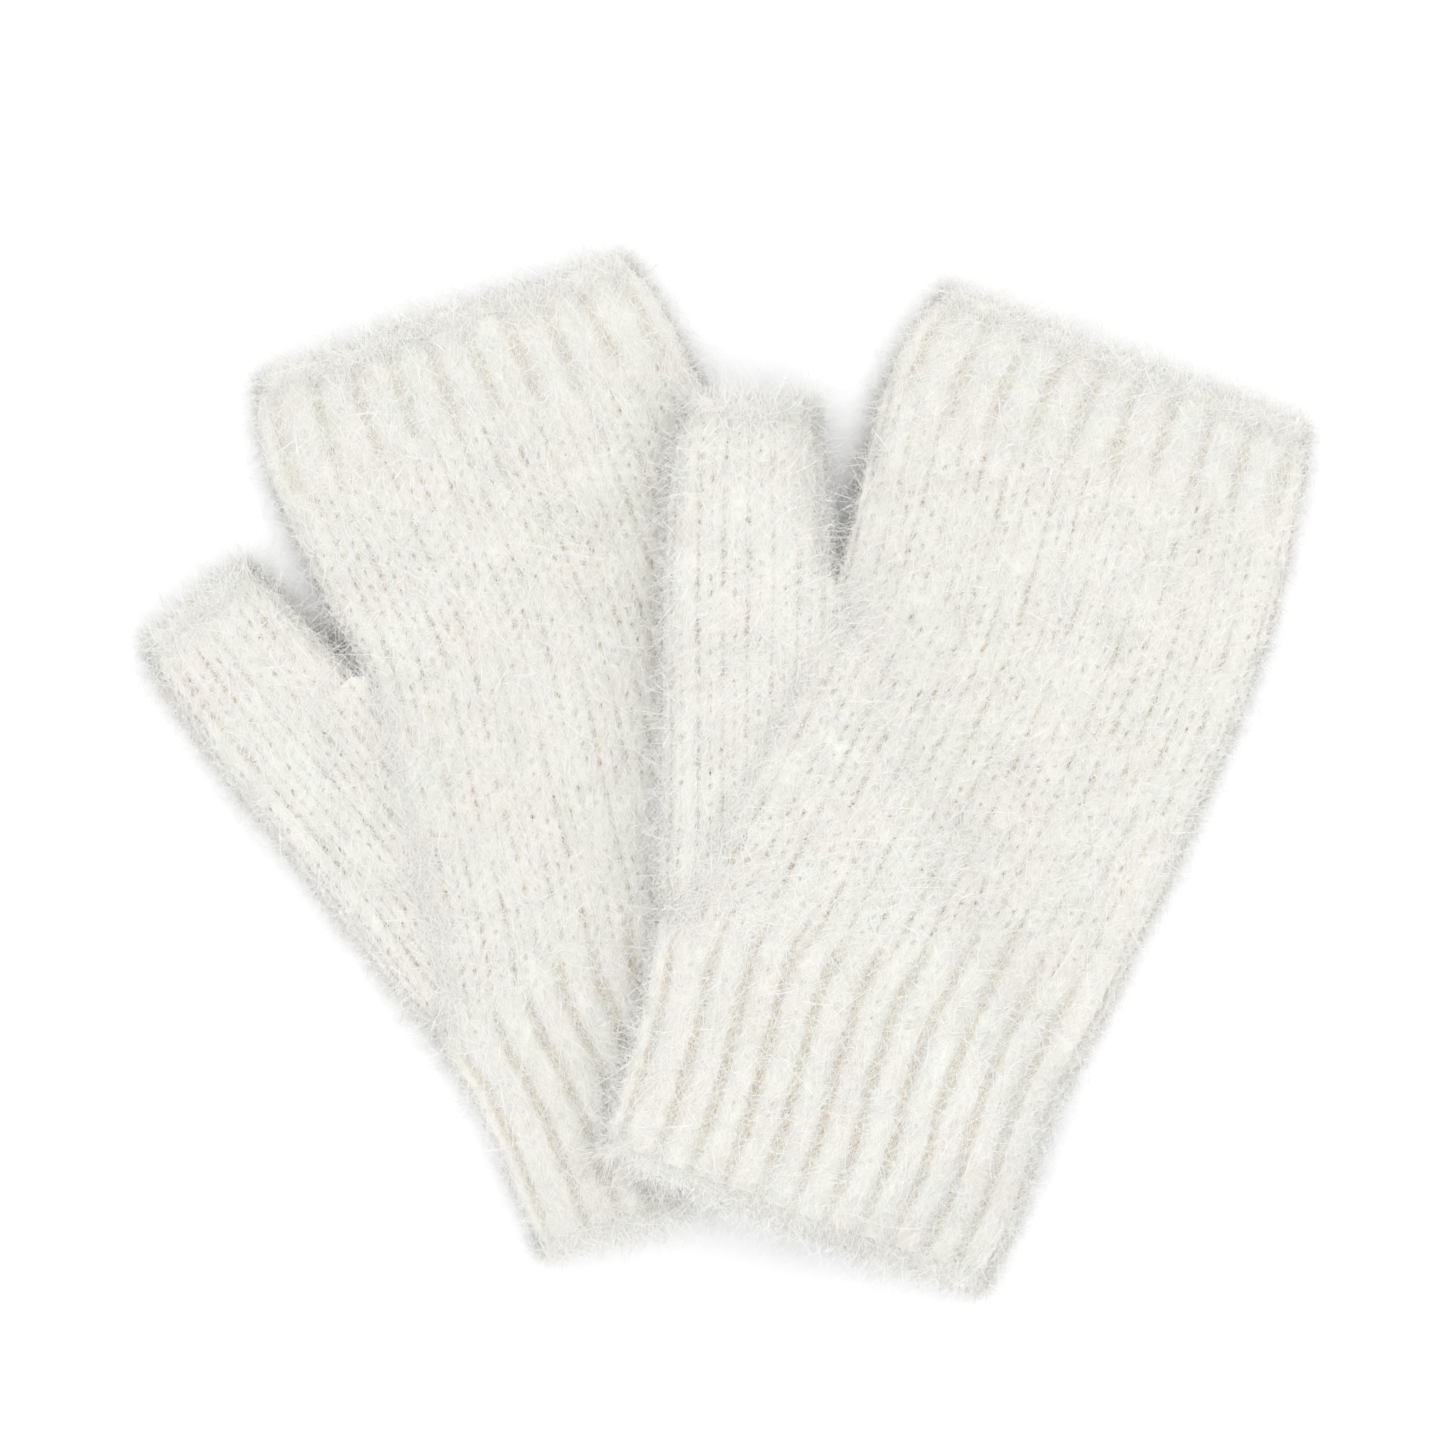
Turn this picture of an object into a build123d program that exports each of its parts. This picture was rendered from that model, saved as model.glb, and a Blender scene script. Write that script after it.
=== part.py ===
from build123d import *

import os
from dataclasses import dataclass
from math import ceil, cos, radians, sin

# A pair of hand-knitted fingerless gloves, lying flat, one laid across the other.
#
# Row frame: +X across the pair, +Y towards the finger openings, +Z up from the surface they lie on.
# Each glove has a frame of its own: u across the hand, v from the wrist edge to the fingers.
# Each thumb has one too: p across the thumb, q along it from the crotch towards its tip.

# Driving dimensions, in millimetres and degrees.
THICKNESS = 12.0            # a glove lying flat, both layers of knitting and the air between them
WALL = 3.0                  # one layer of the knitted fabric
WRIST_Y = 0.0               # start of the ribbed cuff, above the cast-on edge
CUFF_Y = 46.0               # end of the ribbed cuff
BAND_Y = 160.0              # start of the ribbed band at the fingers
TOP_Y = 181.0               # end of that band, below the bound-off edge
EDGE = 3.0                  # depth of each cast-on or bound-off edge
JOIN = 2.4                  # depth of the row of stitches picked up for the thumb
THUMB_LENGTH = 32.0         # thumb tube, without its bound-off edge
THUMB_LEAN = 20.0           # thumb from the line of the hand
CROTCH_CENTRE = (-55.0, 115.2)   # middle of the thumb where it leaves the hand, as (u, v)
GAP = 0.4                   # across a fold line, between two pieces that turn
LAY_GAP = 1.0               # between the two gloves, where one lies on the other
FLAT = 0.3                  # how much the underside is pressed flat
DRAPE = 25.0                # width of the slope where the front glove comes down off the back one
DRAPE_START = 1.5           # how far outside the back glove's edge that slope begins

# Outlines as (distance along, left edge, right edge).
CUFF_OUTLINE = [(WRIST_Y, -41.5, 41.5), (12, -42, 42.3), (30, -43.6, 40.8), (CUFF_Y, -47, 42)]
HAND_OUTLINE = [
    (CUFF_Y, -47, 42),
    (60, -45.2, 43.6),
    (83, -42.5, 45.6),
    (107, -39.8, 47),
    (121, -38.6, 47.5),
    (136, -40.5, 47.6),
    (BAND_Y, -43.2, 44.8),
]
CROTCH_ROW = HAND_OUTLINE[4]
BAND_OUTLINE = [(BAND_Y + GAP, -43.2, 44.8), (171, -43, 43), (TOP_Y, -40.8, 40.6)]
WRIST_EDGE_OUTLINE = [(WRIST_Y - EDGE, -42.3, 42.3), (WRIST_Y, -41.5, 41.5)]
FINGER_EDGE_OUTLINE = [(TOP_Y, -40.8, 40.6), (TOP_Y + EDGE, -39.4, 39.4)]
GUSSET_OUTLINE = [
    (-76, -8, 14),
    (-66, -15.8, 16),
    (-45, -16.9, 16.5),
    (-20, -17, 16.8),
    (-JOIN, -17.3, 16.6),
]
JOIN_OUTLINE = [(-JOIN, -17.3, 16.6), (0, -17.3, 16.4)]
THUMB_OUTLINE = [(GAP, -17.3, 16.2), (10, -16.9, 15.2), (22, -16, 14.2), (THUMB_LENGTH, -14.3, 13.4)]
THUMB_EDGE_OUTLINE = [(THUMB_LENGTH, -14.3, 13.4), (THUMB_LENGTH + EDGE, -14, 13.2)]

SECTION_POINTS = 9         # along the curve above and below one section
STATION_SPACING = 10.0      # at most, between the sections of one tube


@dataclass
class Glove:
    """One glove of the pair: its name, where its wrist lies, and how it is turned."""

    name: str
    wrist: tuple
    turn: float
    laid_on_other: bool

    def direction(self, angle):
        """A level direction, as an angle from the glove's own u axis."""
        return Vector(cos(radians(self.turn + angle)), sin(radians(self.turn + angle)), 0)

    def point(self, u, v):
        """A point of the glove's own frame, in the row frame, on the surface it lies on."""
        return Vector(*self.wrist, 0) + self.direction(0) * u + self.direction(90) * v

    def local(self, point):
        """A point of the row frame, as (u, v)."""
        offset = point - Vector(*self.wrist, 0)
        return offset.dot(self.direction(0)), offset.dot(self.direction(90))

    def hand_plane(self, v):
        """The upright plane across the hand at v, with u across it and height up it."""
        return Plane(origin=self.point(0, v), x_dir=self.direction(0), z_dir=-self.direction(90))

    def thumb_plane(self, q):
        """The upright plane across the thumb at q, with p across it and height up it."""
        along = self.direction(90 + THUMB_LEAN)
        origin = self.point(*CROTCH_CENTRE) + along * q
        return Plane(origin=origin, x_dir=self.direction(THUMB_LEAN), z_dir=-along)

    def seam_plane(self):
        """The upright plane, just inside the hand's folded edge, that the thumb gusset stays outside."""
        low, high = HAND_OUTLINE[0], CROTCH_ROW
        start = self.point(low[1] + THICKNESS / 2, low[0])
        end = self.point(high[1] + THICKNESS / 2, high[0])
        return Plane(origin=start, x_dir=end - start, z_dir=Vector(0, 0, 1).cross(start - end))

    def lift(self, point):
        """How high the glove's underside lies: it drapes over the glove beneath it."""
        if not self.laid_on_other:
            return 0.0
        u, v = BACK.local(point)
        over_side = (RIGHT_LIMIT + DRAPE_START + DRAPE - u) / DRAPE
        over_wrist = (v + EDGE + DRAPE_START + DRAPE) / DRAPE
        return (THICKNESS + LAY_GAP + FLAT) * smooth_step(over_side) * smooth_step(over_wrist)


def smooth_step(share):
    """Rises from 0 to 1 with no corner at either end."""
    share = min(max(share, 0.0), 1.0)
    return share * share * (3 - 2 * share)


BACK = Glove("back", (2.28, -81.75), 18.5, False)
FRONT = Glove("front", (15.88, -87.15), -21.2, True)
RIGHT_LIMIT = max(right for _, _, right in HAND_OUTLINE)


def ring_face(glove, plane, left, right, inset):
    """One closed section of a flattened tube, bent to follow what the glove lies on."""
    low = inset if inset else -FLAT
    high = THICKNESS - inset
    middle = (low + high) / 2
    radius = THICKNESS / 2 - inset
    ends = (left + inset + radius, right - inset - radius)

    def corner(u, height, beyond=0.0):
        """A point at a height above what lies under it, up to beyond outside the section's flat part."""
        return u + beyond, glove.lift(plane.from_local_coords((u, 0, 0))) + height

    step = (ends[1] - ends[0]) / (SECTION_POINTS - 1)
    across = [ends[0] + step * number for number in range(SECTION_POINTS)]
    with BuildSketch(plane) as section:
        with BuildLine():
            Spline([corner(u, high) for u in across])
            ThreePointArc(corner(ends[1], high), corner(ends[1], middle, radius), corner(ends[1], low))
            Spline([corner(u, low) for u in reversed(across)])
            ThreePointArc(corner(ends[0], low), corner(ends[0], middle, -radius), corner(ends[0], high))
        make_face()
    return section.sketch.face()


def stations(outline):
    """The outline with more rows between its own, so that the tube follows what it lies on."""
    rows = [outline[0]]
    for start, end in zip(outline, outline[1:]):
        count = ceil((end[0] - start[0]) / STATION_SPACING)
        for number in range(1, count + 1):
            share = number / count
            rows.append(tuple(a + (b - a) * share for a, b in zip(start, end)))
    return rows


def rings(glove, plane_at, outline, inset=0.0, overrun=0.0):
    """The sections of one tube; overrun carries its two ends on past the outline."""
    rows = [list(row) for row in stations(outline)]
    rows[0][0] -= overrun
    rows[-1][0] += overrun
    return [ring_face(glove, plane_at(at), left, right, inset) for at, left, right in rows]


def tube(glove, plane_at, outline):
    """An open tube of fabric between two stations, flat underneath where it is pressed flat."""
    ruled = glove.laid_on_other
    with BuildPart() as piece:
        loft(rings(glove, plane_at, outline), ruled=ruled)
        loft(rings(glove, plane_at, outline, WALL, overrun=1.0), ruled=ruled, mode=Mode.SUBTRACT)
        split(bisect_by=Plane.XY, keep=Keep.TOP)
    return piece.part


def hand(glove):
    """The stockinette tube of the hand, open at its side into the thumb gusset."""
    ruled = glove.laid_on_other
    with BuildPart() as piece:
        loft(rings(glove, glove.hand_plane, HAND_OUTLINE), ruled=ruled)
        loft(rings(glove, glove.hand_plane, HAND_OUTLINE, WALL, overrun=1.0), ruled=ruled, mode=Mode.SUBTRACT)
        loft(rings(glove, glove.thumb_plane, GUSSET_OUTLINE, WALL), ruled=ruled, mode=Mode.SUBTRACT)
        split(bisect_by=Plane.XY, keep=Keep.TOP)
    return piece.part


def beside_hand(glove, outline):
    """A stretch of the thumb's tube below the crotch, cut away where the hand's tube is."""
    ruled = glove.laid_on_other
    with BuildPart() as piece:
        loft(rings(glove, glove.thumb_plane, outline), ruled=ruled)
        loft(rings(glove, glove.thumb_plane, outline, WALL, overrun=1.0), ruled=ruled, mode=Mode.SUBTRACT)
        loft(rings(glove, glove.hand_plane, HAND_OUTLINE), ruled=ruled, mode=Mode.SUBTRACT)
        split(bisect_by=glove.hand_plane(CUFF_Y), keep=Keep.BOTTOM)
        split(bisect_by=glove.seam_plane(), keep=Keep.BOTTOM)
        split(bisect_by=Plane.XY, keep=Keep.TOP)
    return piece.solids().sort_by(SortBy.VOLUME)[-1]


os.makedirs("parts", exist_ok=True)
for glove in (FRONT, BACK):
    pieces = {
        "wrist_edge": tube(glove, glove.hand_plane, WRIST_EDGE_OUTLINE),
        "cuff": tube(glove, glove.hand_plane, CUFF_OUTLINE),
        "hand": hand(glove),
        "thumb_gusset": beside_hand(glove, GUSSET_OUTLINE),
        "thumb_join": beside_hand(glove, JOIN_OUTLINE),
        "thumb": tube(glove, glove.thumb_plane, THUMB_OUTLINE),
        "thumb_edge": tube(glove, glove.thumb_plane, THUMB_EDGE_OUTLINE),
        "finger_band": tube(glove, glove.hand_plane, BAND_OUTLINE),
        "finger_edge": tube(glove, glove.hand_plane, FINGER_EDGE_OUTLINE),
    }
    for name, piece in pieces.items():
        piece.label = f"{glove.name}_{name}"
        export_step(piece, f"parts/{piece.label}.step")
        print(piece.label, len(piece.solids()), round(piece.volume), piece.bounding_box())
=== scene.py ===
from math import ceil, cos, pi, radians, sin

import bpy
import numpy as np
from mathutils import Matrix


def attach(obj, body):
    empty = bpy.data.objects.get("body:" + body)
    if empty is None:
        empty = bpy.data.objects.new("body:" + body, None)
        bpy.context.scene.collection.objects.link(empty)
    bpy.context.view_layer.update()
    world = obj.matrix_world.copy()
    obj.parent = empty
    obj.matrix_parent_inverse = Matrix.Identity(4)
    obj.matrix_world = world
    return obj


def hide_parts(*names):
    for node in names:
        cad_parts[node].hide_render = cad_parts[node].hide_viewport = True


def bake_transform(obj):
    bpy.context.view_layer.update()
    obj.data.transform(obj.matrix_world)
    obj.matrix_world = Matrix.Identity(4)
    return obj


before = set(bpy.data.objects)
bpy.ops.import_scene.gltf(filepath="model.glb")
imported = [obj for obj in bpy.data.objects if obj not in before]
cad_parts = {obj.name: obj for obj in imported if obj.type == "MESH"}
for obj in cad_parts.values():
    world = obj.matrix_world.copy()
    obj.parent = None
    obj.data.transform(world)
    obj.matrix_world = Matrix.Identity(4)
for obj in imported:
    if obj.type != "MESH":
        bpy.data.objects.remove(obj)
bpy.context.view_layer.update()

# A pair of knitted gloves. Lengths are in millimetres, until mesh_object turns them into metres.
# Each glove has a level frame of its own: u across the hand, v from the wrist edge to the fingers.
# Each thumb has one too: p across the thumb, q along it from the crotch towards its tip.
# Girth goes round a tube: 0 at its left fold, 0.25 on top, 0.5 at its right fold, 0.75 underneath.
MM = 0.001

# The gloves lying flat, as in the CAD.
THICKNESS = 12.0                 # both layers of one glove
WALL = 2.7                       # one layer of knitting
LAY_GAP = 1.0                    # between the two gloves, where one lies on the other
FLAT = 0.3                       # how much the CAD's undersides are pressed flat
EDGE = 3.0                       # depth of the cast-on edge
BAND_Y = 160.0                   # start of the ribbed band at the fingers
TOP_Y = 181.0                    # end of that band
THUMB_LEAN = radians(20.0)       # thumb from the line of the hand
CROTCH_CENTRE = (-55.0, 115.2)   # middle of the thumb where it leaves the hand, as (u, v)
DRAPE = 25.0                     # width of the slope where the front glove comes down
DRAPE_START = 1.5                # how far outside the back glove's edge that slope begins

# Outlines as (distance along, left edge, right edge).
HAND_EDGES = [
    (-3, -42.3, 42.3), (0, -41.8, 41.8), (12, -42, 42.3), (30, -43.6, 40.8), (46, -47, 42),
    (60, -45.2, 43.6), (83, -42.5, 45.6), (107, -39.8, 47), (121, -38.6, 47.5),
    (136, -40.5, 47.6), (160, -43.2, 44.8), (171, -43, 43), (181, -40.8, 40.6), (184, -39.4, 39.4),
]
THUMB_EDGES = [
    (-80, -9, 14), (-76, -11, 14), (-66, -15.8, 16), (-45, -16.9, 16.5), (-20, -17, 16.8),
    (0, -17.3, 16.3), (10, -16.9, 15.2), (22, -16, 14.2), (32, -14.3, 13.4), (35, -14, 13.2),
]
RIGHT_LIMIT = max(right for _, _, right in HAND_EDGES)
HAND_WIDTH = 88                  # about the widest the hand and the thumb get
THUMB_WIDTH = 31
MEAN_EDGES = (-42, 43)           # about where the hand's two folds lie
SEAM = ((-47 + 7.5, 46.0), (-38.6 + 7.0, 121.0))   # where the gusset ends, just over the hand's edge
GUSSET_START = -77               # along the thumb's line, on the cuff
GUSSET_MIDDLE = 84               # along the hand, with half the gusset's length either way
GUSSET_HALF = 30
FOLD = 0.62                      # 1 for a round fold, less for a squarer one
FOLD_THINNING = 0.25             # how much thinner the gloves are at their folds
LOWEST = 0.05                    # fabric stays this far above the surface it lies on

# The knitting.
ROW = 3.1                        # height of one row of stitches
WALE = 5.2                       # width of one column of stitches in the hand
THUMB_WALE = 5.04
CUFF_RIB = 7.3                   # width of one ridge with its furrow
BAND_RIB = 8.5
HAND_WALES = 36                  # columns of stitches round the hand
THUMB_WALES = 16
CUFF_RIBS = 25                   # ridges round the cuff
BAND_RIBS = 22
RELIEF = 1.1                     # how far the base of the stitches lies inside the outline
PLAIN_HEIGHT = 1.4               # of a plain stitch, and of the ridges of each ribbing
CUFF_HEIGHT = 1.9
BAND_HEIGHT = 1.6
LEG_RADIUS = 0.19                # of a stitch's leg, as a share of the column's width
LEG_FOOT = 0.09                  # from the column's middle to a leg's lower end, likewise
LEG_SPREAD = 0.30                # how far out a plain stitch's leg slants, likewise
RIB_LEG_SPREAD = 0.22
LEG_LOW, LEG_HIGH = -1.4, 3.9    # where a leg begins and ends, along its column
RIB_HALF = 0.42                  # half of a ridge's width, as a share of ridge and furrow
ROLL_RADIUS = 1.6                # of the rolled edges, out from the fabric and along it
ROLL_REACH = 2.5
ROLL_OFFSET = 0.7                # from a tube's end to the middle of its rolled edge
ROLL_POINTS = 8                  # along one rib of a rolled edge
ROLL_SIDES = 28

# How finely all this is built.
STEP = 0.46
DENSITY = 1.0
FABRIC_HAIRS, SNUG_HAIRS, EDGE_HAIRS = 3.8, 4.2, 7.0   # to a square millimetre
LONG_SHARE = 0.10                # of the hairs, those that are long
HAIR_KNOTS = 5                   # along one hair
HAIR_RISE = 3.0                  # the most that a hair's tip stands above its root
COAT_LIMIT = 24000               # hairs in one piece

# Where the fabric bends, from the fold to where it has turned all the way.
THUMB_BEND = 22.0
BAND_BEND = 14.0


def smooth_step(share):
    """Rises from 0 to 1 with no corner at either end."""
    share = np.clip(share, 0, 1)
    return share * share * (3 - 2 * share)


def smooth_table(rows, at):
    """Left and right edges at each place, as smooth curves through the rows of an outline."""
    places = np.array([row[0] for row in rows], float)
    result = []
    for column in (1, 2):
        values = np.array([row[column] for row in rows], float)
        slopes = np.gradient(values, places)
        index = np.clip(np.searchsorted(places, at) - 1, 0, len(places) - 2)
        span = places[index + 1] - places[index]
        share = np.clip((at - places[index]) / span, 0, 1)
        rise = values[index + 1] - values[index]
        start = slopes[index] * span * (share * (1 - share) ** 2)
        end = slopes[index + 1] * span * (share ** 2 * (share - 1))
        result.append(values[index] + rise * smooth_step(share) + start + end)
    return result


def waves(x, y, size, seed):
    """Smooth, repeatable unevenness between about -1 and 1, in patches of about that size."""
    random = np.random.default_rng(seed)
    total = 0
    for _ in range(7):
        angle = random.uniform(0, 2 * pi)
        rate = 2 * pi / (size * random.uniform(0.8, 2.6))
        phase = random.uniform(0, 2 * pi)
        total = total + np.sin((x * cos(angle) + y * sin(angle)) * rate + phase)
    return total / 3.5


def scatter(i, j, seed):
    """A repeatable number between -1 and 1 for each stitch."""
    value = np.sin(i * 127.1 + j * 311.7 + seed * 74.7) * 43758.5453
    return (value - np.floor(value)) * 2 - 1


class Glove:
    """One glove of the pair: where its wrist lies, how it is turned, and its own unevenness."""

    def __init__(self, name, wrist, turn, laid_on_other, thumb_length, seed):
        self.name = name
        self.wrist = wrist
        self.turn = radians(turn)
        self.laid_on_other = laid_on_other
        self.thumb_length = thumb_length
        self.seed = seed

    def row(self, u, v):
        """A place in the glove's own frame, as x and y."""
        x = self.wrist[0] + u * cos(self.turn) - v * sin(self.turn)
        y = self.wrist[1] + u * sin(self.turn) + v * cos(self.turn)
        return x, y

    def local(self, x, y):
        """A place of the row frame, as u and v."""
        dx, dy = x - self.wrist[0], y - self.wrist[1]
        u = dx * cos(self.turn) + dy * sin(self.turn)
        v = -dx * sin(self.turn) + dy * cos(self.turn)
        return u, v

    def from_thumb(self, p, q):
        """A place in the thumb's frame, as u and v."""
        u = CROTCH_CENTRE[0] + p * cos(THUMB_LEAN) - q * sin(THUMB_LEAN)
        v = CROTCH_CENTRE[1] + p * sin(THUMB_LEAN) + q * cos(THUMB_LEAN)
        return u, v

    def lift(self, x, y):
        """How high the underside lies, where this glove drapes over the other."""
        if not self.laid_on_other:
            return np.zeros_like(x)
        u, v = BACK.local(x, y)
        over_side = (RIGHT_LIMIT + DRAPE_START + DRAPE - u) / DRAPE
        over_wrist = (v + EDGE + DRAPE_START + DRAPE) / DRAPE
        return (THICKNESS + LAY_GAP + FLAT) * smooth_step(over_side) * smooth_step(over_wrist)

    def points(self, u, v, z):
        """Points at a height above what the glove lies on, in the row frame."""
        x, y = self.row(u, v)
        return np.stack([x, y, z + self.lift(x, y)], axis=-1)

    def middle(self, u, v):
        """A point halfway up a flat glove, in metres, for the ends of a bend."""
        x, y = self.row(u, v)
        return (x * MM, y * MM, THICKNESS / 2 * MM)


BACK = Glove("back", (2.28, -81.75), 18.5, False, 29.0, 11)
FRONT = Glove("front", (15.88, -87.15), -21.2, True, 32.0, 23)


def stitch_legs(wale, course, width, seed, spread=LEG_SPREAD):
    """Height of the two slanting legs of each plain stitch, 0 in the hollows to 1 on the legs."""
    column = np.floor(wale)
    x = (wale - column - 0.5) * width
    side = np.where(x < 0, -1.0, 1.0)
    x = np.abs(x)
    best = np.zeros_like(x)
    course = course + 0.3 * scatter(column, 7, seed)
    for step in (-1, 0, 1, 2):
        number = np.floor(course) + step
        jitter = scatter(column * 2 + side, number, seed)
        size = width * LEG_RADIUS * (1.04 + 0.26 * scatter(column * 2 + side, number, seed + 5))
        y = (course - number) * ROW - 0.25 * jitter
        foot = width * LEG_FOOT
        run = width * (LEG_FOOT + spread) + 0.2 * jitter - foot
        climb = LEG_HIGH - LEG_LOW
        share = ((x - foot) * run + (y - LEG_LOW) * climb) / (run ** 2 + climb ** 2)
        along = np.clip(share, 0, 1)
        away = np.hypot(x - foot - along * run, y - LEG_LOW - along * climb)
        bulge = np.sqrt(np.clip(1 - (away / size) ** 2, 0, 1)) * (1.05 - 0.3 * along)
        best = np.maximum(best, bulge)
    return best


def rib_height(rib, course, width, seed):
    """Height of 1x1 ribbing: ridges of plain stitches with deep furrows between them."""
    ridge = np.floor(rib)
    wander = 0.015 * np.sin(course * 0.9 + ridge * 2.1 + seed)
    x = (rib - ridge - 0.5 + wander) * width
    half = width * RIB_HALF
    leg_width = 2.05 * half
    crown = np.sqrt(np.clip(1 - (x / half) ** 2, 0, 1))
    legs = stitch_legs(ridge + 0.5 + x / leg_width, course, leg_width, seed, RIB_LEG_SPREAD)
    purl = 0.5 + 0.5 * np.cos(2 * pi * (course + 0.3 * scatter(ridge, 0, seed)))
    on_ridge = 0.12 + 0.2 * crown + crown ** 0.5 * (0.1 + 0.62 * legs)
    return np.where(crown > 0, on_ridge, 0.12 + 0.2 * purl)


def level(v):
    """A line straight across the hand, as a rule for v at each u."""
    return lambda u: v + 0 * u


def cuff_top(u):
    """Where the ribbing ends: further up on the side away from the thumb."""
    return 57 + 11 * np.clip(u / 42, -1, 1)


def hand_relief(glove, girth, u, v):
    """Stitch height and its depth share, which sets the painted shade of the hollows, over the hand, cuff
    and finger band.
    """
    seed = glove.seed
    course = v / ROW + 0.35 * waves(u, v, 60, seed)
    drift = 0.10 * waves(u, v, 45, seed + 1)
    plain = stitch_legs(girth * HAND_WALES + drift, course, WALE, seed)
    low_rib = rib_height(girth * CUFF_RIBS + 0.15 * drift, course, CUFF_RIB, seed + 2)
    high_rib = rib_height(girth * BAND_RIBS + 0.15 * drift, course, BAND_RIB, seed + 3)
    ragged_cuff = 5 * scatter(np.floor(girth * CUFF_RIBS), 1, seed)
    ragged_band = 3 * scatter(np.floor(girth * BAND_RIBS), 2, seed)
    into_cuff = smooth_step((cuff_top(u) + ragged_cuff - v) / 12 + 0.5)
    into_band = smooth_step((v - BAND_Y - 1 + ragged_band) / 10 + 0.5)
    edge = smooth_step(v / 9) * smooth_step((TOP_Y + 1 - v) / 9)
    ribs = CUFF_HEIGHT * low_rib * into_cuff + BAND_HEIGHT * high_rib * into_band
    height = PLAIN_HEIGHT * plain * (1 - into_cuff) * (1 - into_band)
    height = height + ribs * (0.6 + 0.4 * edge)
    # The depth share is low in the hollows between stitches and in the rib furrows, where it paints
    # shade.
    depth = plain * (1 - into_cuff) * (1 - into_band) + (0.2 + 0.8 * low_rib) * into_cuff
    depth = depth + (0.3 + 0.7 * high_rib) * into_band
    clumps = waves(u, v, 2.6, seed + 12) + 0.7 * waves(u, v, 1.5, seed + 13)
    height = height + 0.16 * clumps
    depth = depth + 0.10 * clumps
    # Towards the rolled edges the painted shade of the hollows is eased off.
    return height, 1 - (1 - np.clip(depth, 0, 1)) * (0.5 + 0.5 * edge)


def thumb_relief(glove, wale, p, q):
    """Stitch height and its depth share, which sets the painted shade of the hollows, over the gusset and
    thumb.
    """
    seed = glove.seed + 20
    course = q / ROW + 0.3 * waves(p, q, 50, seed)
    drift = 0.1 * waves(p, q, 40, seed + 1)
    plain = stitch_legs(wale + drift, course, THUMB_WALE, seed + 2)
    edge = smooth_step((glove.thumb_length + 1 - q) / 8)
    join = np.exp(-((q + 1.2) / 1.3) ** 2)
    height = PLAIN_HEIGHT * plain * (0.45 + 0.55 * edge) + 0.2 * join
    # Towards the thumb's rolled edge the painted shade of the hollows is eased off.
    return height, 1 - (1 - plain) * (0.45 + 0.55 * edge)


def folded(angle):
    """A fold's profile, a little squarer than round, from its side at 0 to its top at pi / 2.

    It gives a place on the profile and the outward normal there.
    """
    cosine, sine = np.clip(np.cos(angle), 0, 1), np.clip(np.sin(angle), 0, 1)
    reach, rise = cosine ** FOLD, sine ** FOLD
    steep = 2 / FOLD - 1
    out_x, out_z = reach ** steep, rise ** steep
    length = np.hypot(out_x, out_z)
    return reach, rise, out_x / length, out_z / length


def stadium(girth, left, right, thickness):
    """A place and its outward normal at each girth of a flattened tube."""
    radius = thickness / 2
    flat = right - left - 2 * radius
    quarter = pi * radius / 2
    half = flat + 2 * quarter
    below = girth > 0.5
    along = np.where(below, 1 - girth, girth) * 2 * half
    flip = np.where(below, -1.0, 1.0)
    on_left = along < quarter
    on_right = along > quarter + flat
    angle_left = along / radius
    angle_right = (along - quarter - flat) / radius
    u = left + radius + np.clip(along - quarter, 0, flat)
    angle = np.where(on_left, angle_left, np.where(on_right, pi / 2 - angle_right, pi / 2))
    reach, rise, out_u, out_z = folded(angle)
    u = np.where(on_left, left + radius - radius * reach, u)
    u = np.where(on_right, right - radius + radius * reach, u)
    out_u = np.where(on_left, -out_u, np.where(on_right, out_u, 0.0))
    return u, radius + radius * rise * flip, out_u, out_z * flip


def pressed(z, across, left, right, by_left=1.0):
    """Thins a flattened tube towards its two folds, so that they lie lower than its middle."""
    offset = (across - (left + right) / 2) / ((right - left) / 2)
    share = np.where(offset < 0, by_left, 1.0) * np.clip(np.abs(offset), 0, 1) ** 4
    return z * (1 - FOLD_THINNING * share)


def spaced(start, end):
    """Places along a tube, a step apart."""
    return np.linspace(start, end, ceil(abs(end - start) / STEP) + 1)


def spaced_share(low, high):
    """Shares of the way from low to high, a step apart, as a column."""
    return np.linspace(0, 1, ceil((high - low) / STEP) + 1)[:, None]


def girth_places(width, coarser):
    """Places round a tube, a step apart over the top and further apart underneath."""
    round_half = width - THICKNESS + pi * THICKNESS / 2
    top = np.linspace(-0.02, 0.52, ceil(0.54 * 2 * round_half / STEP))
    under_count = ceil(0.46 * 2 * round_half / (coarser * STEP)) + 1
    under = np.linspace(0.52, 0.98, under_count)[1:-1]
    return np.concatenate([top, under]) % 1.0


def hand_stretch(glove, start, end):
    """A stretch of the hand's tube between two lines across it, each a rule for v at each u."""
    around = girth_places(HAND_WIDTH, 2)
    share = spaced_share(float(start(np.array(0.0))), float(end(np.array(0.0))))
    girth = np.broadcast_to(around[None, :], (len(share), len(around)))
    guess = stadium(girth, *MEAN_EDGES, THICKNESS)[0]
    v = start(guess) + (end(guess) - start(guess)) * share
    left, right = smooth_table(HAND_EDGES, v)
    left = left + 0.25 * waves(v, 0 * v, 28, glove.seed + 7)
    right = right + 0.25 * waves(v, 0 * v + 50, 28, glove.seed + 8)
    u, z, out_u, out_z = stadium(girth, left, right, THICKNESS)
    height, depth = hand_relief(glove, girth, u, v)
    sway = 0.45 * waves(u, v, 34, glove.seed + 9) * np.clip(out_z, 0, 1)
    out = height - RELIEF
    beyond_gusset = smooth_step((np.abs(v - GUSSET_MIDDLE) - GUSSET_HALF) / 12)
    top = pressed(z + out_z * out + sway, u, left, right, beyond_gusset)
    outer = glove.points(u + out_u * out, v, np.maximum(top, LOWEST))
    u, z, _, _ = stadium(girth, left + WALL, right - WALL, THICKNESS - 2 * WALL)
    inner = glove.points(u, v, pressed(z + WALL, u, left, right, beyond_gusset))
    return outer, inner, depth


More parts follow.
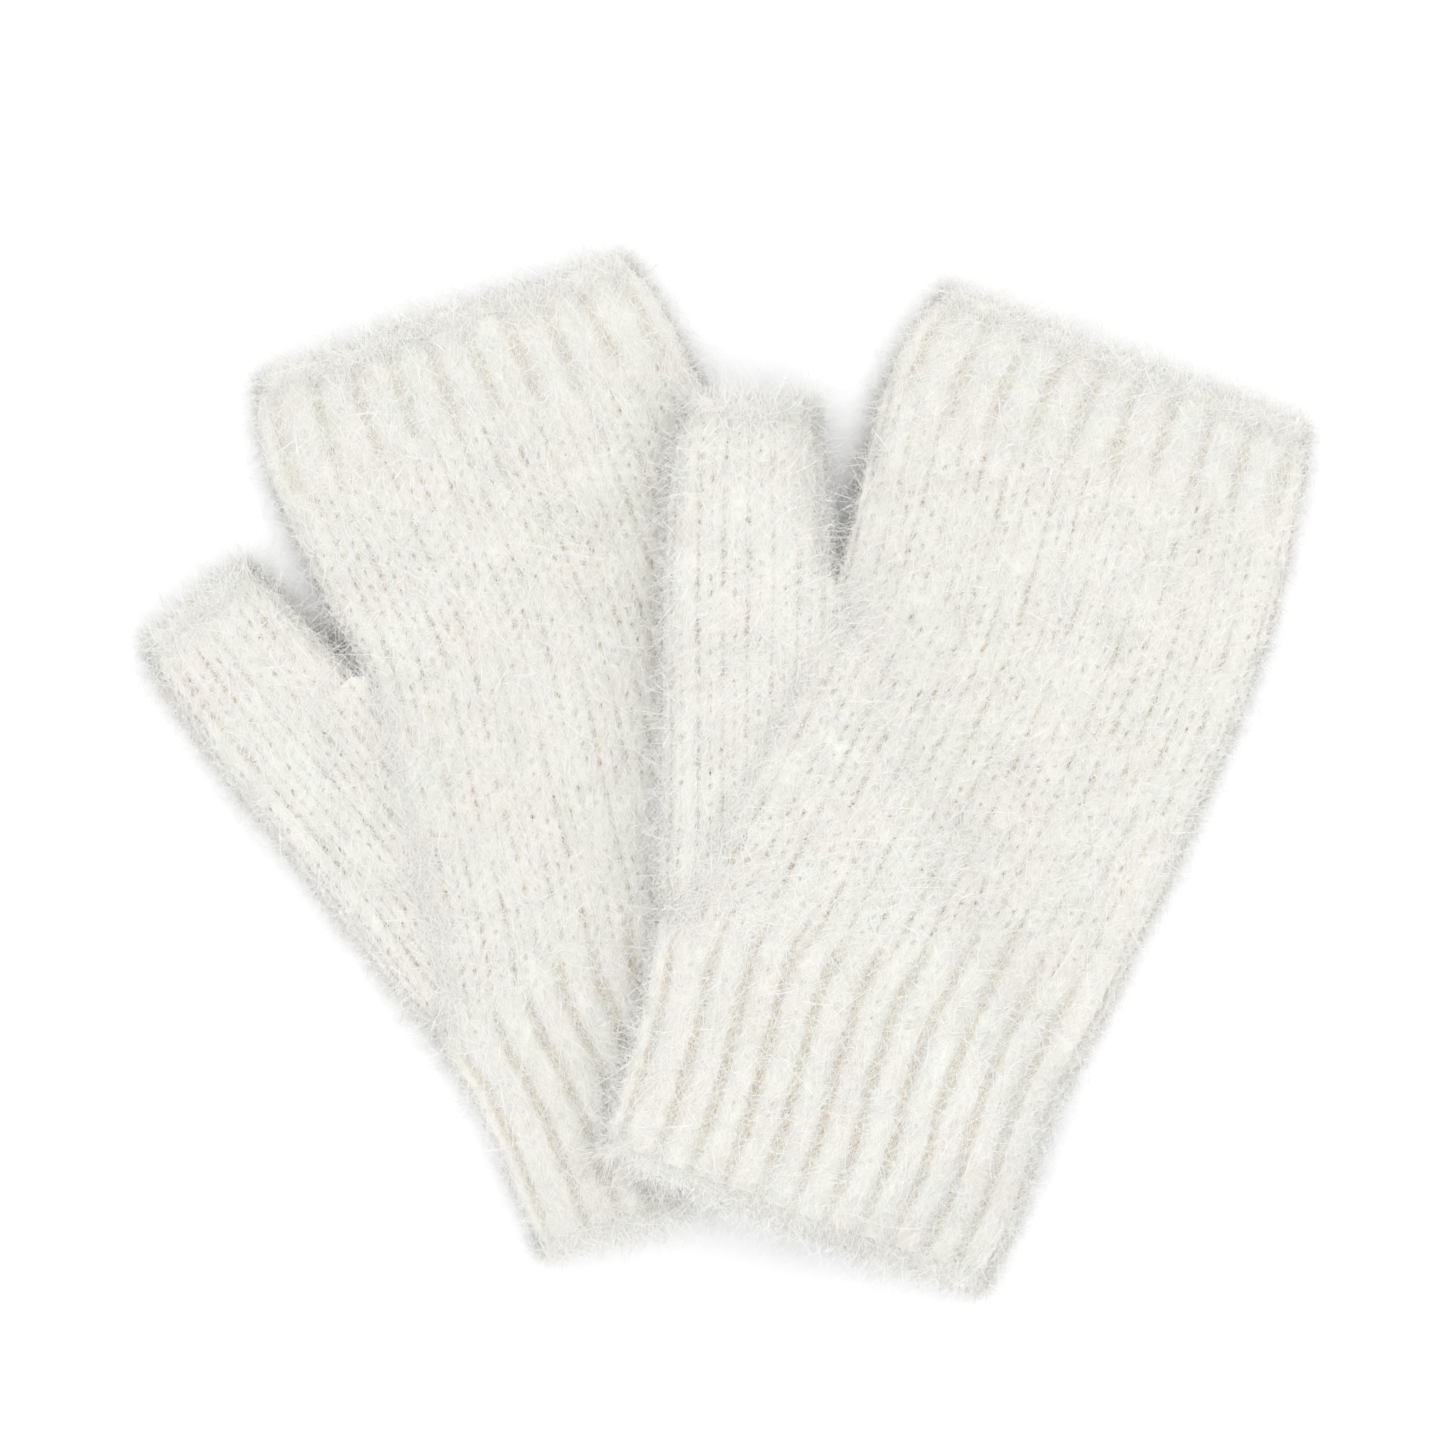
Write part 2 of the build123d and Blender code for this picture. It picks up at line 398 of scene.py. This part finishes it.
def gusset_reach(q):
    """Where the gusset's sheets end at the seam, as a distance across the thumb."""
    (u0, v0), (u1, v1) = SEAM
    du, dv = u1 - u0, v1 - v0
    cu = CROTCH_CENTRE[0] - q * sin(THUMB_LEAN)
    cv = CROTCH_CENTRE[1] + q * cos(THUMB_LEAN)
    top = (u0 - cu) * dv - (v0 - cv) * du
    return top / (cos(THUMB_LEAN) * dv - sin(THUMB_LEAN) * du)


def gusset_piece(glove):
    """The wedge between the hand and the thumb, sheets over and under with a fold outside."""
    q = spaced(GUSSET_START, 0.1)[:, None]
    left, right = smooth_table(THUMB_EDGES, q)
    centre = (left + right) / 2
    radius = THICKNESS / 2
    quarter = pi * radius / 2
    far = np.maximum(quarter + gusset_reach(q) - left - radius, 3.0)
    count = ceil((quarter + 50) / STEP)
    under, over = np.linspace(-1, -0.1, count // 2)[:-1], np.linspace(-0.1, 1, count)
    distance = np.concatenate([under, over])[None, :] * far
    length = np.abs(distance)
    flip = np.where(distance < 0, -1.0, 1.0)
    reach, rise, out_p, out_z = folded(np.clip(length / radius, 0, pi / 2))
    p = left + radius * (1 - reach) + np.clip(length - quarter, 0, None)
    z = radius + flip * radius * rise
    out_p, out_z = -out_p, out_z * flip
    height, depth = thumb_relief(glove, distance / THUMB_WALE, p, q)
    tuck = 1.3 * smooth_step((length - far + 2.5) / 2.5) + 3.0 * smooth_step((-70 - q) / 6)
    by_crotch = smooth_step((p - 15) / 7)
    tuck = tuck + 3.0 * by_crotch * smooth_step((q + 5) / 5)
    q = q - 4.0 * by_crotch * smooth_step((q + 20) / 20)
    out = height - RELIEF - tuck
    u, v = glove.from_thumb(p + out_p * out, q)
    top = pressed(z + out_z * out, np.minimum(p, centre), left, right)
    outer = glove.points(u, v, np.maximum(top, LOWEST))
    inner_p = p - out_p * WALL
    u, v = glove.from_thumb(inner_p, q)
    low = pressed(z - out_z * (WALL + 1.0), np.minimum(inner_p, centre), left, right)
    return outer, glove.points(u, v, low), depth


def thumb_stretch(glove):
    """The thumb's tube, from the crotch to its rolled edge."""
    around = girth_places(THUMB_WIDTH, 1.6)
    q = spaced(0.1, glove.thumb_length)[:, None]
    girth = np.broadcast_to(around[None, :], (len(q), len(around)))
    left, right = smooth_table(THUMB_EDGES, q)
    p, z, out_p, out_z = stadium(girth, left, right, THICKNESS)
    wale = np.where(girth > 0.5, girth - 1, girth) * THUMB_WALES
    height, depth = thumb_relief(glove, wale, p, q)
    out = height - RELIEF
    u, v = glove.from_thumb(p + out_p * out, q + 0 * p)
    top = pressed(z + out_z * out, p, left, right)
    outer = glove.points(u, v, np.maximum(top, LOWEST))
    p, z, _, _ = stadium(girth, left + WALL, right - WALL, THICKNESS - 2 * WALL)
    u, v = glove.from_thumb(p, q + 0 * p)
    return outer, glove.points(u, v, pressed(z + WALL, p, left, right)), depth


def edge_roll(glove, on_thumb, station, count):
    """A soft roll of yarn round the mouth of a tube, fuller at each of its count ribs."""
    girth = np.arange(count * ROLL_POINTS)[None, :] / (count * ROLL_POINTS)
    turn = np.linspace(0, 2 * pi, ROLL_SIDES, endpoint=False)[:, None]
    left, right = smooth_table(THUMB_EDGES if on_thumb else HAND_EDGES, np.full((1, 1), station))
    rib = 0.5 - 0.5 * np.cos(girth * count * 2 * pi)
    swell = 0.88 + 0.16 * rib + 0.05 * np.cos(girth * count * pi * 0.37 + 1)
    inset = RELIEF + 0.75
    across, z, out_u, out_z = stadium(girth, left + inset, right - inset, THICKNESS - 2 * inset)
    out = ROLL_RADIUS * swell * np.cos(turn)
    wander = 0.6 * waves(girth * 170, 0 * girth, 34, glove.seed + 40) * (0.4 if on_thumb else 1)
    along = station + ROLL_REACH * swell * np.sin(turn) + 0.5 * rib * np.sign(station) + wander
    across = across + out_u * out
    top = pressed(z + inset + out_z * out, across, left, right)
    u, v = glove.from_thumb(across, along) if on_thumb else (across, along)
    # The depth share paints shade between the roll's ribs and leaves each rib lighter.
    return glove.points(u, v, np.maximum(top, LOWEST)), 0.7 + 0.3 * rib + 0 * turn


def mesh_object(name, points, quads):
    """A smooth mesh of four-sided faces, from points in millimetres."""
    mesh = bpy.data.meshes.new(name)
    mesh.vertices.add(len(points))
    mesh.vertices.foreach_set("co", (points * MM).astype(np.float32).ravel())
    mesh.loops.add(quads.size)
    mesh.loops.foreach_set("vertex_index", quads.astype(np.int32).ravel())
    mesh.polygons.add(len(quads))
    mesh.polygons.foreach_set("loop_start", np.arange(0, quads.size, 4, dtype=np.int32))
    mesh.update(calc_edges=True)
    mesh.validate()
    mesh.shade_smooth()
    obj = bpy.data.objects.new(name, mesh)
    bpy.context.scene.collection.objects.link(obj)
    return obj


def add_values(mesh, name, values):
    """A value for each point of a mesh, which its material reads."""
    layer = mesh.attributes.new(name, "FLOAT", "POINT")
    layer.data.foreach_set("value", values.astype(np.float32).ravel())


def grid_faces(rows, columns, closed, start=0, flip=False):
    """Quads between rows of points; closed joins each row's end to its start."""
    i = np.arange(rows - 1)[:, None]
    j = np.arange(columns if closed else columns - 1)[None, :]
    k = (j + 1) % columns
    a, b = i * columns + j, i * columns + k
    c, d = (i + 1) * columns + k, (i + 1) * columns + j
    quads = np.stack([a, b, c, d], axis=-1).reshape(-1, 4) + start
    return quads[:, ::-1] if flip else quads


def sharpen_rims(mesh, columns, rows):
    """Keeps the shading of a piece's outside apart from that of its cut ends."""
    ends = np.empty(len(mesh.edges) * 2, dtype=np.int32)
    mesh.edges.foreach_get("vertices", ends)
    line = ends.reshape(-1, 2) // columns
    rim = (line[:, 0] == line[:, 1]) & ((line[:, 0] == 0) | (line[:, 0] == rows - 1))
    layer = mesh.attributes.new("sharp_edge", "BOOLEAN", "EDGE")
    layer.data.foreach_set("value", rim)


def shell(name, outer, inner, depth, closed, skipped):
    """A closed piece of fabric from its outside and inside grids.

    The inside keeps one row of points for each one that skipped counts on the outside.
    """
    rows, columns = outer.shape[:2]
    picks = np.unique(np.linspace(0, rows - 1, rows // skipped).astype(int))
    count = rows * columns
    points = np.concatenate([outer.reshape(-1, 3), inner[picks].reshape(-1, 3)])
    faces = [
        grid_faces(rows, columns, closed),
        grid_faces(len(picks), columns, closed, count, flip=True),
    ]
    j = np.arange(columns if closed else columns - 1)
    k = (j + 1) % columns
    last_out, last_in = (rows - 1) * columns, count + (len(picks) - 1) * columns
    faces.append(np.stack([k, j, count + j, count + k], axis=-1))
    faces.append(np.stack([last_out + j, last_out + k, last_in + k, last_in + j], axis=-1))
    if not closed:
        # The gusset's inside has every row, so its two sides join up row by row.
        left = np.arange(rows - 1) * columns
        right = left + columns - 1
        faces.append(np.stack([left + columns, left, count + left, count + left + columns], axis=-1))
        faces.append(np.stack([right, right + columns, count + right + columns, count + right], axis=-1))
    obj = mesh_object(name, points, np.concatenate(faces))
    # The inside gets a middling depth share, so a middling painted shade.
    add_values(obj.data, "depth", np.concatenate([depth.ravel(), np.full(len(picks) * columns, 0.55)]))
    sharpen_rims(obj.data, columns, rows)
    return obj


def ring_object(name, points, depth):
    """A closed ring from a grid that joins up both ways."""
    rows, columns = points.shape[:2]
    i, j = np.arange(rows)[:, None], np.arange(columns)[None, :]
    ii, jj = (i + 1) % rows, (j + 1) % columns
    corners = [i * columns + j, i * columns + jj, ii * columns + jj, ii * columns + j]
    quads = np.stack(corners, axis=-1).reshape(-1, 4)
    obj = mesh_object(name, points.reshape(-1, 3), quads)
    add_values(obj.data, "depth", depth)
    return obj


def unit(vectors):
    """The same directions, one long."""
    return vectors / np.linalg.norm(vectors, axis=-1, keepdims=True)


def directions_of(points):
    """Outward and lengthwise directions all over a grid of points, from its neighbours."""
    along = np.gradient(points, axis=0)
    normal = np.cross(np.gradient(points, axis=1), along)
    normal_length = np.linalg.norm(normal, axis=-1, keepdims=True)
    along_length = np.linalg.norm(along, axis=-1, keepdims=True)
    return normal / np.maximum(normal_length, 1e-9), along / np.maximum(along_length, 1e-9)


def hair_roots(grid, density, random):
    """Where hairs stand on a grid, with the outward and lengthwise directions there."""
    normal, along = directions_of(grid)
    corner = grid[:-1, :-1]
    cell = np.linalg.norm(np.cross(grid[:-1, 1:] - corner, grid[1:, :-1] - corner), axis=-1)
    facing_up = normal[:-1, :-1, 2]
    weight = cell * np.where(facing_up > 0.6, 1.0, np.where(facing_up > -0.5, 1.8, 0.12))
    total = int(weight.sum() * density)
    picks = random.choice(weight.size, size=total, p=weight.ravel() / weight.sum())
    i, j = np.divmod(picks, grid.shape[1] - 1)
    down, across = random.random(total)[:, None], random.random(total)[:, None]

    def sample(field):
        near = field[i, j] * (1 - across) + field[i, j + 1] * across
        far = field[i + 1, j] * (1 - across) + field[i + 1, j + 1] * across
        return near * (1 - down) + far * down

    up = unit(sample(normal))
    way = sample(along)
    return sample(grid), up, unit(way - up * (way * up).sum(1, keepdims=True))


def each(values):
    """One value per hair, shaped to work on every knot of it."""
    return values[:, None, None]


def hair_ribbons(root, up, way, random):
    """Thin ribbons that rise from their roots, lie back along the knitting and bend a little."""
    total = len(root)
    cross = np.cross(up, way)
    is_long = random.random(total) < LONG_SHARE
    by_fold = 1 + 0.7 * np.clip(1 - np.abs(up[:, 2]) * 1.5, 0, 1)
    length = np.where(is_long, random.uniform(6, 14, total), random.uniform(1.8, 5.0, total))
    height = np.where(is_long, random.uniform(0.6, 3.2, total), random.uniform(0.2, 1.2, total)) * by_fold
    spread = np.where(is_long, 0.9, 0.7)
    angle = -0.2 + random.normal(0, 1, total) * spread + np.where(random.random(total) < 0.5, pi, 0.0)
    heading = way * np.cos(angle)[:, None] + cross * np.sin(angle)[:, None]
    sideways = np.cross(up, heading)
    bend = random.normal(0, 0.3, total) * length
    t = np.linspace(0, 1, HAIR_KNOTS)[None, :, None]
    rise = each(height) * np.sin(t * pi * each(random.uniform(0.45, 0.85, total))) - 0.3 * (1 - t)
    wobble = 0.2 * np.sin(t * 6 + each(random.uniform(0, 6, total)))
    centre = (root[:, None] + heading[:, None] * (t * each(length))
              + sideways[:, None] * (each(bend) * t * t + wobble) + up[:, None] * rise)
    width = each(np.where(is_long, 0.045, 0.05)) * (1 - 0.7 * t ** 2)
    facing = sideways[:, None] * width
    centre[..., 2] = np.clip(centre[..., 2], 0.15, root[:, None, 2] + HAIR_RISE)
    return np.stack([centre - facing, centre + facing], axis=2).reshape(total, -1, 3)


def fibres(name, grid, density, random):
    """Fine hairs all over a grid of points, in as many pieces as COAT_LIMIT asks for."""
    ribbons = hair_ribbons(*hair_roots(grid, density, random), random)
    shade = random.random(len(ribbons))
    coats = []
    for number, start in enumerate(range(0, len(ribbons), COAT_LIMIT)):
        part = ribbons[start:start + COAT_LIMIT]
        base = np.arange(len(part))[:, None] * HAIR_KNOTS * 2 + np.arange(HAIR_KNOTS - 1)[None, :] * 2
        quads = np.stack([base, base + 1, base + 3, base + 2], axis=-1).reshape(-1, 4)
        coat = mesh_object(f"{name}_{number + 1}", part.reshape(-1, 3), quads)
        add_values(coat.data, "shade", np.repeat(shade[start:start + COAT_LIMIT], HAIR_KNOTS * 2))
        coats.append(coat)
    return coats


def new_material(name, roughness, specular):
    """A material with its nodes, its links and its shader."""
    material = bpy.data.materials.new(name)
    material.use_nodes = True
    nodes, links = material.node_tree.nodes, material.node_tree.links
    shader = nodes["Principled BSDF"]
    shader.inputs["Roughness"].default_value = roughness
    shader.inputs["Specular IOR Level"].default_value = specular
    return material, nodes, links, shader


def value_of(nodes, name):
    """The output that reads a mesh's own value for each point."""
    attribute = nodes.new("ShaderNodeAttribute")
    attribute.attribute_name = name
    return attribute.outputs["Fac"]


def colour_ramp(nodes, low, high, low_place=0.0, high_place=1.0):
    """A ramp from one colour to another."""
    ramp = nodes.new("ShaderNodeValToRGB")
    ramp.color_ramp.elements[0].color = (*low, 1)
    ramp.color_ramp.elements[1].color = (*high, 1)
    ramp.color_ramp.elements[0].position = low_place
    ramp.color_ramp.elements[1].position = high_place
    return ramp


def noise(nodes, links, place, scale, detail):
    """Noise in the piece's own space, at a scale in cycles per metre."""
    texture = nodes.new("ShaderNodeTexNoise")
    texture.inputs["Scale"].default_value = scale
    texture.inputs["Detail"].default_value = detail
    links.new(place.outputs["Object"], texture.inputs["Vector"])
    return texture.outputs["Fac"]


def knit_material(name, high, low):
    """Fluffy knitting: lighter on the stitches and darker and warmer in the hollows, which is painted
    shade, with faint uneven dye.
    """
    material, nodes, links, shader = new_material(name, 0.95, 0.15)
    shader.inputs["Sheen Weight"].default_value = 0.25
    shader.inputs["Sheen Roughness"].default_value = 0.6
    # Painted shade: low depth shares, in the hollows and furrows, take the dark warm colour, high ones
    # the stitches' own colour.
    ramp = colour_ramp(nodes, low, high, 0.05, 0.75)
    links.new(value_of(nodes, "depth"), ramp.inputs["Fac"])
    place = nodes.new("ShaderNodeTexCoord")
    tint = colour_ramp(nodes, (1.0, 0.955, 0.93), (0.985, 1.0, 0.965), 0.35, 0.6)
    links.new(noise(nodes, links, place, 90, 5), tint.inputs["Fac"])
    mix = nodes.new("ShaderNodeMix")
    mix.data_type = "RGBA"
    mix.blend_type = "MULTIPLY"
    mix.inputs["Factor"].default_value = 1.0
    links.new(ramp.outputs["Color"], mix.inputs["A"])
    links.new(tint.outputs["Color"], mix.inputs["B"])
    links.new(mix.outputs["Result"], shader.inputs["Base Color"])
    bump = nodes.new("ShaderNodeBump")
    bump.inputs["Strength"].default_value = 0.35
    bump.inputs["Distance"].default_value = 0.0004
    links.new(noise(nodes, links, place, 2600, 3), bump.inputs["Height"])
    links.new(bump.outputs["Normal"], shader.inputs["Normal"])
    return material


def fibre_material(name, warm, white):
    """Single hairs, each a little different, from warm to white."""
    material, nodes, links, shader = new_material(name, 0.7, 0.2)
    ramp = colour_ramp(nodes, warm, white)
    links.new(value_of(nodes, "shade"), ramp.inputs["Fac"])
    links.new(ramp.outputs["Color"], shader.inputs["Base Color"])
    return material


# Its second colour is the painted shade of the hollows between stitches and in the rib furrows.
WOOL = knit_material("wool", (0.865, 0.862, 0.822), (0.62, 0.53, 0.38))
HAIR = fibre_material("wool_hair", (0.835, 0.825, 0.76), (0.965, 0.97, 0.962))


def finish_piece(obj, material, body, bend, replaced=()):
    """Gives a piece its material in a slot of its own, and its body; with a bend it is left without a
    body, its transform baked into its mesh instead.
    """
    obj.data.materials.append(material)
    if bend:
        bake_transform(obj)
    else:
        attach(obj, body)
    if replaced:
        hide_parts(*replaced)


for glove in (BACK, FRONT):
    name = glove.name
    random = np.random.default_rng(glove.seed)
    body, thumb_body, finger_body = f"{name}_glove", f"{name}_thumb", f"{name}_fingers"
    thumb_bend = (body, thumb_body, glove.middle(*glove.from_thumb(0.0, 0.0)),
                  glove.middle(*glove.from_thumb(0.0, THUMB_BEND)))
    band_bend = (body, finger_body, glove.middle(0, BAND_Y), glove.middle(0, BAND_Y + BAND_BEND))

    # Each stretch of fabric: the kind of knitting, its grids, how coarse its inside is, where it
    # bends, and the CAD nodes it replaces.
    fabric = {
        "cuff": ("ribbed_cuff", hand_stretch(glove, level(0), cuff_top), 12, None, ["cuff"]),
        "hand": ("knitted_hand", hand_stretch(glove, cuff_top, level(BAND_Y)), 12, None, ["hand"]),
        "band": ("ribbed_finger_band", hand_stretch(glove, level(BAND_Y), level(TOP_Y)), 2,
                 band_bend, ["finger_band"]),
        "gusset": ("knitted_gusset", gusset_piece(glove), 1, None, ["thumb_gusset", "thumb_join"]),
        "thumb": ("knitted_thumb", thumb_stretch(glove), 2, thumb_bend, ["thumb"]),
    }
    for part, (kind, (outer, inner, depth), skipped, bend, nodes) in fabric.items():
        piece = shell(f"{name}_{kind}", outer, inner, depth, part != "gusset", skipped)
        finish_piece(piece, WOOL, body, bend, [f"{name}_{node}" for node in nodes])

    coats = []
    for part in ("cuff", "hand", "gusset", "band", "thumb"):
        _, (outer, _, _), _, bend, _ = fabric[part]
        coats.append((part, outer, bend, SNUG_HAIRS if part == "band" else FABRIC_HAIRS))

    for part, on_thumb, station, count, bend in (
        ("wrist_edge", False, -ROLL_OFFSET, CUFF_RIBS, None),
        ("finger_edge", False, TOP_Y + ROLL_OFFSET, BAND_RIBS, band_bend),
        ("thumb_edge", True, glove.thumb_length + ROLL_OFFSET, THUMB_WALES, thumb_bend),
    ):
        points, depth = edge_roll(glove, on_thumb, station, count)
        roll = ring_object(f"{name}_yarn_{part}", points, depth)
        finish_piece(roll, WOOL, body, bend, [f"{name}_{part}"])
        coats.append((part, np.concatenate([points, points[:1]]), bend, EDGE_HAIRS))

    for part, grid, bend, density in coats:
        for coat in fibres(f"{name}_{part}_fluff", grid, density * DENSITY, random):
            finish_piece(coat, HAIR, body, bend)

# The surface the pair lies on, and the light.
bpy.ops.mesh.primitive_plane_add(size=6, location=(0, 0, -0.0002))
floor = bpy.context.object
floor.name = "floor"
floor_material, _, _, floor_shader = new_material("floor", 1.0, 0.0)
floor_shader.inputs["Base Color"].default_value = (0.98, 0.98, 0.98, 1)
floor.data.materials.append(floor_material)

world = bpy.data.worlds.new("room")
bpy.context.scene.world = world
world.use_nodes = True
background = world.node_tree.nodes["Background"]
background.inputs["Color"].default_value = (0.955, 0.955, 1.0, 1)
background.inputs["Strength"].default_value = 0.98

lamp = bpy.data.lights.new("soft_window", "AREA")
lamp.shape = "DISK"
lamp.size = 1.6
lamp.energy = 7
lamp.color = (1.0, 0.99, 0.94)
light = bpy.data.objects.new("soft_window", lamp)
light.location = (0.1, 0.1, 1.35)
bpy.context.scene.collection.objects.link(light)

bpy.context.scene.view_settings.view_transform = "Standard"

# The camera looks straight down, and the width below is what it sees at the height named after it.
SCENE_WIDTH = 292.3 * MM
SCENE_HEIGHT = 10 * MM
camera_data = bpy.data.cameras.new("camera")
camera_data.lens = 110
camera_data.sensor_width = 36
distance = SCENE_WIDTH * camera_data.lens / camera_data.sensor_width
camera = bpy.data.objects.new("camera", camera_data)
camera.location = (0.67 * MM, 10.73 * MM, SCENE_HEIGHT + distance)
bpy.context.scene.collection.objects.link(camera)
bpy.context.scene.camera = camera
